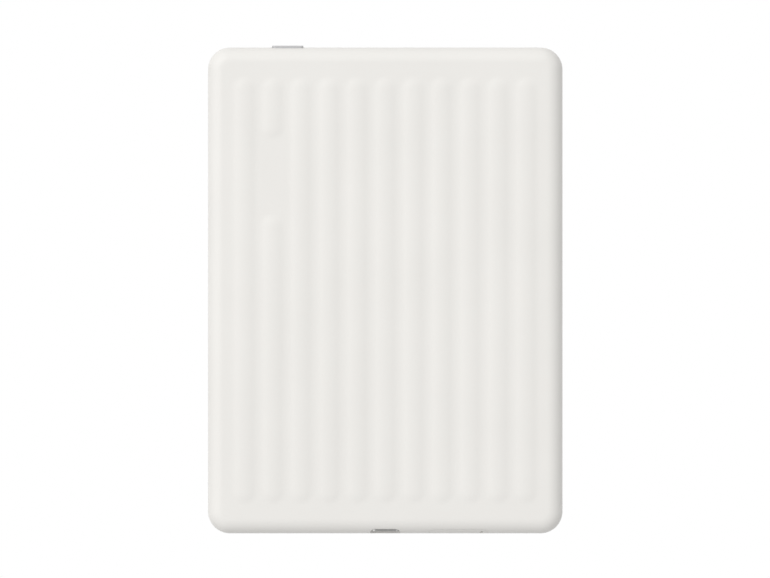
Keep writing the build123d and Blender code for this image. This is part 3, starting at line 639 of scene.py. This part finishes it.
# White moulded LED bodies filled with yellow phosphor gel.
led_body, tree, place = new_material("led_body_with_phosphor")
gel = put(tree, "TexNoise", {"Vector": place, "Scale": 900.0, "Detail": 2.0})
patterned_surface(tree, gel.outputs["Fac"], ("#F6F1D8", "#EFD98A"), rough=(0.2, 0.35), IOR=1.5)
give_finish(led_body, "frontlight_leds")


# ================================================================ mid frame
# A stamped steel sheet stiffens the body. Screws hold it to the front frame's bosses, and the
# mainboard stands on brass posts pressed into it. A bracket of the same sheet backs the power key.

# Stainless sheet, rolled and stamped: satin grey, with the rolls' fine lines along its length.
frame_sheet, tree, place = new_material("stainless_steel_sheet_rolled")
along = put(tree, "Mapping", {"Vector": place, "Scale": (4000.0, 120.0, 4000.0)})
rolled = put(tree, "TexNoise", {"Vector": along.outputs["Vector"], "Scale": 1.0, "Detail": 3.0})
patterned_surface(
    tree,
    rolled.outputs["Fac"],
    ("#B4B4B2", "#CACAC8"),
    rough=(0.3, 0.46),
    relief=0.000006,
    Metallic=1.0,
)
give_finish(frame_sheet, "mid_frame", "key_bracket")

# Cold-headed steel screws, plated with nickel: bright, with the fine marks of barrel plating.
screw_steel, tree, place = new_material("nickel_plated_screw_steel")
marks = put(tree, "TexNoise", {"Vector": place, "Scale": 4500.0, "Detail": 3.0})
patterned_surface(
    tree, marks.outputs["Fac"], ("#A9A8A4", "#C2C1BC"), rough=(0.22, 0.36), Metallic=1.0
)
give_finish(screw_steel, "mid_frame_screws", "mainboard_screws")

# Turned brass: warm yellow, with rings from the tool 0.1 mm apart round each post.
turned_brass, tree, place = new_material("brass_turned")
rings = put(
    tree,
    "TexWave",
    {"Vector": place, "Scale": 3140.0, "Distortion": 1.0, "Detail": 2.0},
    bands_direction="Z",
)
patterned_surface(
    tree, rings.outputs["Fac"], ("#C9A45A", "#DDBD77"), rough=(0.24, 0.34), Metallic=1.0
)
give_finish(turned_brass, "standoffs", "lever_pivot")


# ================================================================ battery
# A lithium pouch, taped to the mid frame. A small board on its seam guards it, and three silicone
# leads end in a plug that sits in a socket on the mainboard.

# Aluminium laminated with nylon, pressed round the cell: satin silver, slightly wrinkled.
pouch_foil, tree, place = new_material("aluminium_laminate_pouch")
wrinkles = put(
    tree, "TexNoise", {"Vector": place, "Scale": 260.0, "Detail": 3.0, "Distortion": 0.6}
)
patterned_surface(
    tree,
    wrinkles.outputs["Fac"],
    ("#BFC1C3", "#D2D4D5"),
    rough=(0.3, 0.42),
    relief=0.00008,
    Metallic=0.9,
)
give_finish(pouch_foil, "battery_cell")

# Red silicone rubber over stranded copper. The strands show as a faint twist in its skin.
lead_rubber, tree, place = new_material("silicone_rubber_red")
skin = put(tree, "TexNoise", {"Vector": place, "Scale": 3500.0, "Detail": 2.0})
patterned_surface(
    tree, skin.outputs["Fac"], ("#A31F1F", "#B92C2A"), rough=0.5, relief=0.00002, IOR=1.41
)
give_finish(lead_rubber, "battery_lead")


# ================================================================ mainboard
# A glass-epoxy board across the body's lower third, with the processor and its memory under a tin
# shield, and storage, power and radio parts beside it, all soldered in one pass.

# Green solder mask over copper: glossy, with lighter tracks where copper lies under it. They run
# in bundles, along the board in some fields and across it in others, and are drawn 0.8 mm apart.
solder_mask, tree, place = new_material("fr4_board_green_solder_mask")
fields = put(
    tree,
    "TexBrick",
    {
        "Vector": place,
        "Scale": 100.0,
        "Color1": (0, 0, 0, 1),
        "Color2": (1, 1, 1, 1),
        "Mortar": (0.5, 0.5, 0.5, 1),
        "Mortar Size": 0.02,
        "Brick Width": 0.6,
        "Row Height": 0.35,
    },
)
along = put(tree, "TexWave", {"Vector": place, "Scale": 393.0}, bands_direction="Y")
across = put(tree, "TexWave", {"Vector": place, "Scale": 393.0})
turned = put(tree, "Math", {0: fields.outputs["Color"], 1: 0.5}, operation="GREATER_THAN")
tracks = put(tree, "Mix", {0: turned.outputs[0], 2: along.outputs["Fac"], 3: across.outputs["Fac"]})
laid = put(tree, "TexNoise", {"Vector": place, "Scale": 160.0, "Detail": 1.0})
copper = put(tree, "Math", {0: tracks.outputs[0], 1: laid.outputs["Fac"]}, operation="MULTIPLY")
line = put(tree, "MapRange", {"Value": copper.outputs[0], "From Min": 0.4, "From Max": 0.46})
patterned_surface(
    tree, line.outputs["Result"], ("#1B523A", "#2A6E4A"), rough=0.32, relief=0.00003, IOR=1.52
)
give_finish(solder_mask, "mainboard", "battery_protection_board")

# Epoxy moulding compound full of fine silica: near black and matte, with the mould's even grain.
chip_resin, tree, place = new_material("epoxy_moulding_compound")
grain = put(tree, "TexNoise", {"Vector": place, "Scale": 6000.0, "Detail": 2.0})
patterned_surface(
    tree, grain.outputs["Fac"], ("#262628", "#313133"), rough=(0.5, 0.65), relief=0.00001
)
give_finish(
    chip_resin, "processor", "memory_chip", "flash_chip", "power_chip", "hall_sensor"
)

# Tin-plated steel sheet: pale and half dull, with the cloudy crystals of the plating.
tin_sheet, tree, place = new_material("tin_plated_steel")
crystals = put(tree, "TexVoronoi", {"Vector": place, "Scale": 1400.0}, feature="SMOOTH_F1")
patterned_surface(
    tree, crystals.outputs["Distance"], ("#C9C9C6", "#D8D8D5"), rough=(0.28, 0.5), Metallic=1.0
)
give_finish(tin_sheet, "shield_can", "radio_module", "crystals")

# Heat-conducting silicone: soft, blue grey and slightly speckled by its ceramic powder.
pad_rubber, tree, place = new_material("thermal_silicone_pad")
powder = put(tree, "TexNoise", {"Vector": place, "Scale": 2600.0, "Detail": 3.0})
patterned_surface(tree, powder.outputs["Fac"], ("#A9B8C4", "#C6D1D9"), rough=0.8, relief=0.00002)
give_finish(pad_rubber, "thermal_pad")

# Pressed and sintered ferrite: dark grey, dull, faintly pitted.
ferrite, tree, place = new_material("sintered_ferrite")
pits = put(tree, "TexNoise", {"Vector": place, "Scale": 5000.0, "Detail": 4.0})
patterned_surface(tree, pits.outputs["Fac"], ("#4A4A4B", "#616162"), rough=0.7, relief=0.00002)
give_finish(ferrite, "inductors")

# Fired barium titanate, tan and smooth, with tinned ends on the faces that look along the body.
chip_ceramic, tree, place = new_material("ceramic_capacitor_tinned_ends")
facing = put(tree, "NewGeometry")
parts = put(tree, "SeparateXYZ", {0: facing.outputs["Normal"]})
end_face = put(tree, "Math", {0: parts.outputs["Y"]}, operation="ABSOLUTE")
fired = put(tree, "TexNoise", {"Vector": place, "Scale": 3000.0, "Detail": 2.0})
clay = put(
    tree,
    "Mix",
    {0: fired.outputs["Fac"], 6: linear("#B48E63"), 7: linear("#C7A377")},
    data_type="RGBA",
)
tone = put(
    tree,
    "Mix",
    {0: end_face.outputs[0], 6: clay.outputs[2], 7: linear("#D0D0CC")},
    data_type="RGBA",
)
rough = put(tree, "MapRange", {"Value": fired.outputs["Fac"], "To Min": 0.35, "To Max": 0.5})
surface = put(
    tree,
    "BsdfPrincipled",
    {"Base Color": tone.outputs[2], "Roughness": rough.outputs["Result"], "IOR": 1.7},
)
put(tree, "OutputMaterial", {"Surface": surface.outputs["BSDF"]})
give_finish(chip_ceramic, "capacitors")

# Glass-filled liquid-crystal polymer: black and satin, with the fine streaks of its flow.
connector_plastic, tree, place = new_material("liquid_crystal_polymer_black")
along = put(tree, "Mapping", {"Vector": place, "Scale": (800.0, 3000.0, 3000.0)})
flow = put(tree, "TexNoise", {"Vector": along.outputs["Vector"], "Scale": 1.0, "Detail": 2.0})
patterned_surface(tree, flow.outputs["Fac"], ("#1C1C1D", "#29292A"), rough=(0.38, 0.52), IOR=1.6)
give_finish(
    connector_plastic,
    "battery_plug",
    "battery_socket",
    "display_connector",
    "touch_connector",
    "frontlight_connector",
    "key_connector",
)


# ================================================================ charging port
# A receptacle soldered to the mainboard: a drawn steel shell with four legs, and a tongue of black
# polymer that carries twelve gold contacts on each side.

# The shell's mouth is drawn 0.9 mm nearer to the outside than its CAD solid's.
steel_wall = 0.3
port_width = 8.94
port_tall = 3.16
port_lip = 0.9
port_mesh = bmesh.new()
port_ends = (port_low.y - port_lip, port_high.y)
edge_slot(port_mesh, 0, port_height, port_width, port_tall, *port_ends, segments=16)
usb_shell = loose_object(port_mesh, "port_shell_drawn")
bore_mesh = bmesh.new()
bore = (port_width - 2 * steel_wall, port_tall - 2 * steel_wall, port_ends[0] - 1, port_ends[1] + 1)
edge_slot(bore_mesh, 0, port_height, *bore, segments=16)
cut(usb_shell, "DIFFERENCE", loose_object(bore_mesh, "port_bore"))
legs_mesh = bmesh.new()
leg_x = port_width / 2 + 0.55
leg_places = (port_low.y + 3.2, port_high.y - 1.0)
leg_half_x, leg_half_y = 0.75, 0.7
leg_foot = port_low.z
leg_top = leg_foot + 0.3
for x in (-leg_x, leg_x):
    for y in leg_places:
        low_corner = (x - leg_half_x, y - leg_half_y, leg_foot)
        add_block(legs_mesh, low_corner, (x + leg_half_x, y + leg_half_y, leg_top))
cut(usb_shell, "UNION", loose_object(legs_mesh, "port_legs"))

# Deep drawn stainless steel, left as drawn: grey, with fine streaks along the shell.
port_steel, tree, place = new_material("stainless_steel_deep_drawn")
along = put(tree, "Mapping", {"Vector": place, "Scale": (5000.0, 500.0, 5000.0)})
streaks = put(tree, "TexNoise", {"Vector": along.outputs["Vector"], "Scale": 1.0, "Detail": 2.0})
patterned_surface(
    tree, streaks.outputs["Fac"], ("#C6C5C3", "#D2D1CF"), rough=(0.26, 0.4), Metallic=1.0
)
finish_piece(usb_shell, port_steel, "base", "port_steel", "usb_shell")
give_finish(connector_plastic, "usb_tongue")

# Gold flashed over nickel: warm, bright, and slightly uneven where plugs have wiped it.
contact_gold, tree, place = new_material("gold_plated_contact")
wiped = put(tree, "TexNoise", {"Vector": place, "Scale": 2500.0, "Detail": 2.0})
patterned_surface(
    tree, wiped.outputs["Fac"], ("#D9B25C", "#EBCB7C"), rough=(0.18, 0.34), Metallic=1.0
)
give_finish(contact_gold, "usb_contacts")


# ================================================================ card socket and its tray
# A socket on the mainboard: a black base with eight gold springs under a folded tin cage. Its tray
# is moulded with a face that follows the shell's rounded edge, and has a pinhole at one end.
give_finish(connector_plastic, "card_socket_base")
give_finish(contact_gold, "card_socket_contacts")
give_finish(tin_sheet, "card_socket_cage")

# Its face is drawn 0.06 mm larger all round than its CAD solid, for a finer gap round it.
face_width = tray_high.x - tray_low.x
face_height = 2.4
face_play = 0.06
face_back = -71.8
frame_lap = 0.2
tray_left = tray_low.x + 1.0
tray_right = tray_left + 13.0
frame_foot = 3.95
frame_roof = frame_foot + 0.85
card_width = 11.2
card_right = (tray_left + tray_right) / 2 + card_width / 2
card_left = card_right - card_width
card_end = tray_high.y - 1.0
card_length = 15
step_length = 4
opening_end = card_end - 3
cutter_foot, cutter_top = 3, 6
pinhole_x = tray_high.x - 1.9
pinhole_radius = 0.6

tray_mesh = bmesh.new()
smooth_form(tray_mesh)
card_tray = loose_object(tray_mesh, "card_tray_moulding")
face_mesh = bmesh.new()
face_bar = (face_width + 2 * face_play, face_height + 2 * face_play, below_edge, face_back)
edge_slot(face_mesh, tray_x, tray_height, *face_bar, segments=16)
cut(card_tray, "INTERSECT", loose_object(face_mesh, "tray_face_bar"))
frame_mesh = bmesh.new()
frame_low = (tray_left, face_back - frame_lap, frame_foot)
add_block(frame_mesh, frame_low, (tray_right, tray_high.y, frame_roof))
cut(card_tray, "UNION", loose_object(frame_mesh, "tray_frame"))
pocket_mesh = bmesh.new()
card_floor = frame_foot + 0.15
pocket_low = (card_left, card_end - card_length, cutter_foot)
add_block(pocket_mesh, pocket_low, (card_right, opening_end, cutter_top))
step_mesh = bmesh.new()
step_low = (card_left, card_end - step_length, card_floor)
add_block(step_mesh, step_low, (card_right, card_end, cutter_top))
pin_mesh = bmesh.new()
matrix = Matrix.Translation((pinhole_x, -73, tray_height)) @ Matrix.Rotation(math.pi / 2, 4, "X")
bmesh.ops.create_cone(
    pin_mesh,
    cap_ends=True,
    segments=32,
    radius1=pinhole_radius,
    radius2=pinhole_radius,
    depth=4,
    matrix=matrix,
)
tray_cutters = ((pocket_mesh, "card_pocket"), (step_mesh, "card_step"), (pin_mesh, "pinhole"))
cut(card_tray, "DIFFERENCE", *(loose_object(*cutter) for cutter in tray_cutters))
finish_piece(card_tray, shell_plastic, "tray", "shell_plastic", "card_tray")


# ================================================================ ejector
# A pin pushed into the tray's hole moves a tin rod, and the rod turns a lever behind the tray. The
# lever's long nose then starts the tray out of its socket. The lever turns on a riveted brass post.
give_finish(tin_sheet, "eject_rod", "eject_lever")


# ================================================================ power button and its switch
# A moulded cap in the top edge, held in by its own flange, with a nub that presses the switch
# behind it. A bracket stands behind the switch, which is soldered to a flex.
cap_length = 9.5
cap_thickness = button_high.z - button_low.z
cap_edge_radius = 0.25
cap_lap = 0.1
flange_front = 71.2
flange_back = 70.6
nub_radius = 0.8
nub_lap = 0.2

cap_mesh = bmesh.new()
cap_bar = (cap_length, cap_thickness, flange_front - cap_lap, button_high.y)
edge_slot(cap_mesh, button_x, button_height, *cap_bar, segments=12)
round_edge(cap_mesh, flat_face(cap_mesh, 1, button_high.y), cap_edge_radius, 5)
power_button = loose_object(cap_mesh, "power_button_cap")
flange_mesh = bmesh.new()
flange_bar = (button_high.x - button_low.x, cap_thickness - 0.01, flange_back, flange_front)
edge_slot(flange_mesh, button_x, button_height, *flange_bar, segments=12)
nub_mesh = bmesh.new()
nub_middle = (button_low.y + flange_back + nub_lap) / 2
nub_place = Matrix.Translation((button_x, nub_middle, button_height))
bmesh.ops.create_cone(
    nub_mesh,
    cap_ends=True,
    segments=32,
    radius1=nub_radius,
    radius2=nub_radius,
    depth=flange_back + nub_lap - button_low.y,
    matrix=nub_place @ Matrix.Rotation(math.pi / 2, 4, "X"),
)
cut(power_button, "UNION", loose_object(flange_mesh, "flange"), loose_object(nub_mesh, "nub"))

# Grey PC-ABS from a fine mould: satin and even, a shade darker than the shell it sits in.
button_plastic, tree, place = new_material("grey_pc_abs_moulded_satin")
grain = put(tree, "TexNoise", {"Vector": place, "Scale": 6500.0, "Detail": 2.0})
patterned_surface(
    tree, grain.outputs["Fac"], ("#C0C0C1", "#C6C6C7"), rough=(0.38, 0.5), relief=0.00001, IOR=1.57
)
finish_piece(power_button, button_plastic, "button", "button_plastic", "power_button")

# White nylon plunger in a black body: the nylon is waxy and slightly cloudy.
give_finish(connector_plastic, "switch_body")
switch_nylon, tree, place = new_material("nylon_moulded_natural")
haze = put(tree, "TexNoise", {"Vector": place, "Scale": 2200.0, "Detail": 2.0})
patterned_surface(tree, haze.outputs["Fac"], ("#E3E1D8", "#EDEBE3"), rough=(0.35, 0.48), IOR=1.53)
give_finish(switch_nylon, "switch_plunger")


# ================================================================ antenna
# A printed antenna on a black carrier in the top corner. A thin coax runs from it down the right
# side to a snap-on plug on the radio module.
give_finish(connector_plastic, "antenna_carrier")
give_finish(contact_gold, "antenna_plug")

# Extruded fluoropolymer jacket: dark grey, smooth and slightly waxy.
cable_jacket, tree, place = new_material("fluoropolymer_coax_jacket")
skin = put(tree, "TexNoise", {"Vector": place, "Scale": 1800.0, "Detail": 3.0})
patterned_surface(tree, skin.outputs["Fac"], ("#37383A", "#46474A"), rough=(0.3, 0.42), IOR=1.35)
give_finish(cable_jacket, "antenna_coax")


# ================================================================ stage, light and camera
# A plain white table, plain soft light from a studio's walls, a large soft lamp high up on the
# left, weak ones at the left and the top, and a wide one below for the screen. The camera looks
# straight down on the e-reader's back through a long lens.

# The table is open under the e-reader, so that its screen is lit and seen from below.
table_half = 2500
hole_margin = 6
table_drop = 0.05
table_mesh = bmesh.new()
bmesh.ops.create_grid(table_mesh, x_segments=1, y_segments=1, size=table_half)
bmesh.ops.inset_region(table_mesh, faces=list(table_mesh.faces), thickness=table_half - 100)
table_hole = min(table_mesh.faces, key=lambda f: f.calc_area())
for vert in table_hole.verts:
    vert.co.x = math.copysign(shell_high.x - hole_margin, vert.co.x)
    vert.co.y = math.copysign(shell_high.y - hole_margin, vert.co.y)
bmesh.ops.delete(table_mesh, geom=[table_hole], context="FACES_ONLY")
bmesh.ops.translate(table_mesh, vec=(0, 0, -table_drop), verts=table_mesh.verts)
table = loose_object(table_mesh, "table_top")

# The table is plain white paper. The camera sees it as white, with only the object's soft shadow
# in it, and from below it isn't there.
paper, tree, place = new_material("white_paper_table")
fibre = put(tree, "TexNoise", {"Vector": place, "Scale": 900.0, "Detail": 3.0})
tone = put(tree, "ValToRGB", {"Fac": fibre.outputs["Fac"]})
tone.color_ramp.elements[0].color = linear("#E4E4E4")
tone.color_ramp.elements[1].color = linear("#EAEAEA")
lit = put(tree, "BsdfDiffuse", {"Color": tone.outputs["Color"]})
glow = put(tree, "Emission", {"Color": (1, 1, 1, 1), "Strength": 1.0})
seen = put(tree, "LightPath")
looks = seen.outputs["Is Camera Ray"]
for ray in ("Is Glossy Ray", "Is Transmission Ray"):
    looks = put(tree, "Math", {0: looks, 1: seen.outputs[ray]}, operation="MAXIMUM").outputs[0]
share = put(tree, "Math", {0: looks, 1: 0.93}, operation="MULTIPLY")
mixed = put(
    tree, "MixShader", {0: share.outputs[0], 1: lit.outputs["BSDF"], 2: glow.outputs["Emission"]}
)
clear = put(tree, "BsdfTransparent")
side = put(tree, "NewGeometry")
whole = put(
    tree,
    "MixShader",
    {0: side.outputs["Backfacing"], 1: mixed.outputs["Shader"], 2: clear.outputs["BSDF"]},
)
put(tree, "OutputMaterial", {"Surface": whole.outputs["Shader"]})
table.data.materials.append(paper)

# The walls are brightest at middle height above the table, and a little brighter towards the top
# left than the bottom right. The camera sees plain white behind everything.
world = bpy.data.worlds.new("studio")
world.use_nodes = True
tree = world.node_tree
tree.nodes.clear()
walls = put(tree, "TexCoord")
aim = put(tree, "SeparateXYZ", {0: walls.outputs["Generated"]})
height = put(tree, "MapRange", {"Value": aim.outputs["Z"], "From Min": -1.0})
lean = put(tree, "Math", {0: aim.outputs["Y"], 1: aim.outputs["X"]}, operation="SUBTRACT")
lean = put(tree, "Math", {0: lean.outputs[0], 1: 0.1, 2: 1.0}, operation="MULTIPLY_ADD")
level = put(tree, "ValToRGB", {"Fac": height.outputs["Result"]})
wall_levels = (
    *((0.0, 0.45), (0.5, 0.45), (0.625, 0.7), (0.7, 0.93)),
    *((0.875, 0.93), (0.975, 0.38), (1.0, 0.3)),
)
for index, (at, strength) in enumerate(wall_levels):
    ramp = level.color_ramp.elements
    stop = ramp[index] if index < 2 else ramp.new(at)
    stop.position = at
    stop.color = (strength, strength, strength, 1)
wall_light = put(tree, "Background", {"Color": level.outputs["Color"], "Strength": lean.outputs[0]})
wall_seen = put(tree, "Background", {"Color": linear("#FFFFFF"), "Strength": 1.0})
seen = put(tree, "LightPath")
studio = put(
    tree,
    "MixShader",
    {
        0: seen.outputs["Is Camera Ray"],
        1: wall_light.outputs["Background"],
        2: wall_seen.outputs["Background"],
    },
)
put(tree, "OutputWorld", {"Surface": studio.outputs["Shader"]})
bpy.context.scene.world = world


def lamp(name, place, power, width, height):
    """A soft rectangular lamp that shines at the middle of the object."""
    made = bpy.data.lights.new(name, "AREA")
    made.shape = "RECTANGLE"
    made.size = width
    made.size_y = height
    made.energy = power
    made = bpy.data.objects.new(name, made)
    made.location = place
    made.rotation_euler = (-Vector(place)).to_track_quat("-Z", "Y").to_euler()
    made.visible_camera = False
    bpy.context.scene.collection.objects.link(made)


lamp("soft_key", (-1.7, 1.2, 2.5), 35.4, 1.6, 1.6)
lamp("left_fill", (-3.0, 0.0, 0.0), 1.5, 1.5, 0.5)
lamp("top_fill", (0.0, 3.0, 0.0), 5.5, 1.5, 0.5)
lamp("soft_under", (0.0, 0.0, -1.2), 17.0, 3.0, 3.0)

camera = bpy.data.objects.new("camera", bpy.data.cameras.new("camera"))
camera.data.sensor_width = 36.0
camera.data.lens = 230.2
camera.location = (-0.00008, 0.00043, 1.502)
camera.data.clip_start = 0.05
camera.data.clip_end = 20.0
bpy.context.scene.collection.objects.link(camera)
bpy.context.scene.camera = camera
bpy.context.scene.view_settings.view_transform = "Standard"

# Light crosses both faces of the glass, the touch film and the light guide on its way to the ink
# film and again on its way back, which is more than the default of eight clear faces.
bpy.context.scene.cycles.transparent_max_bounces = 24
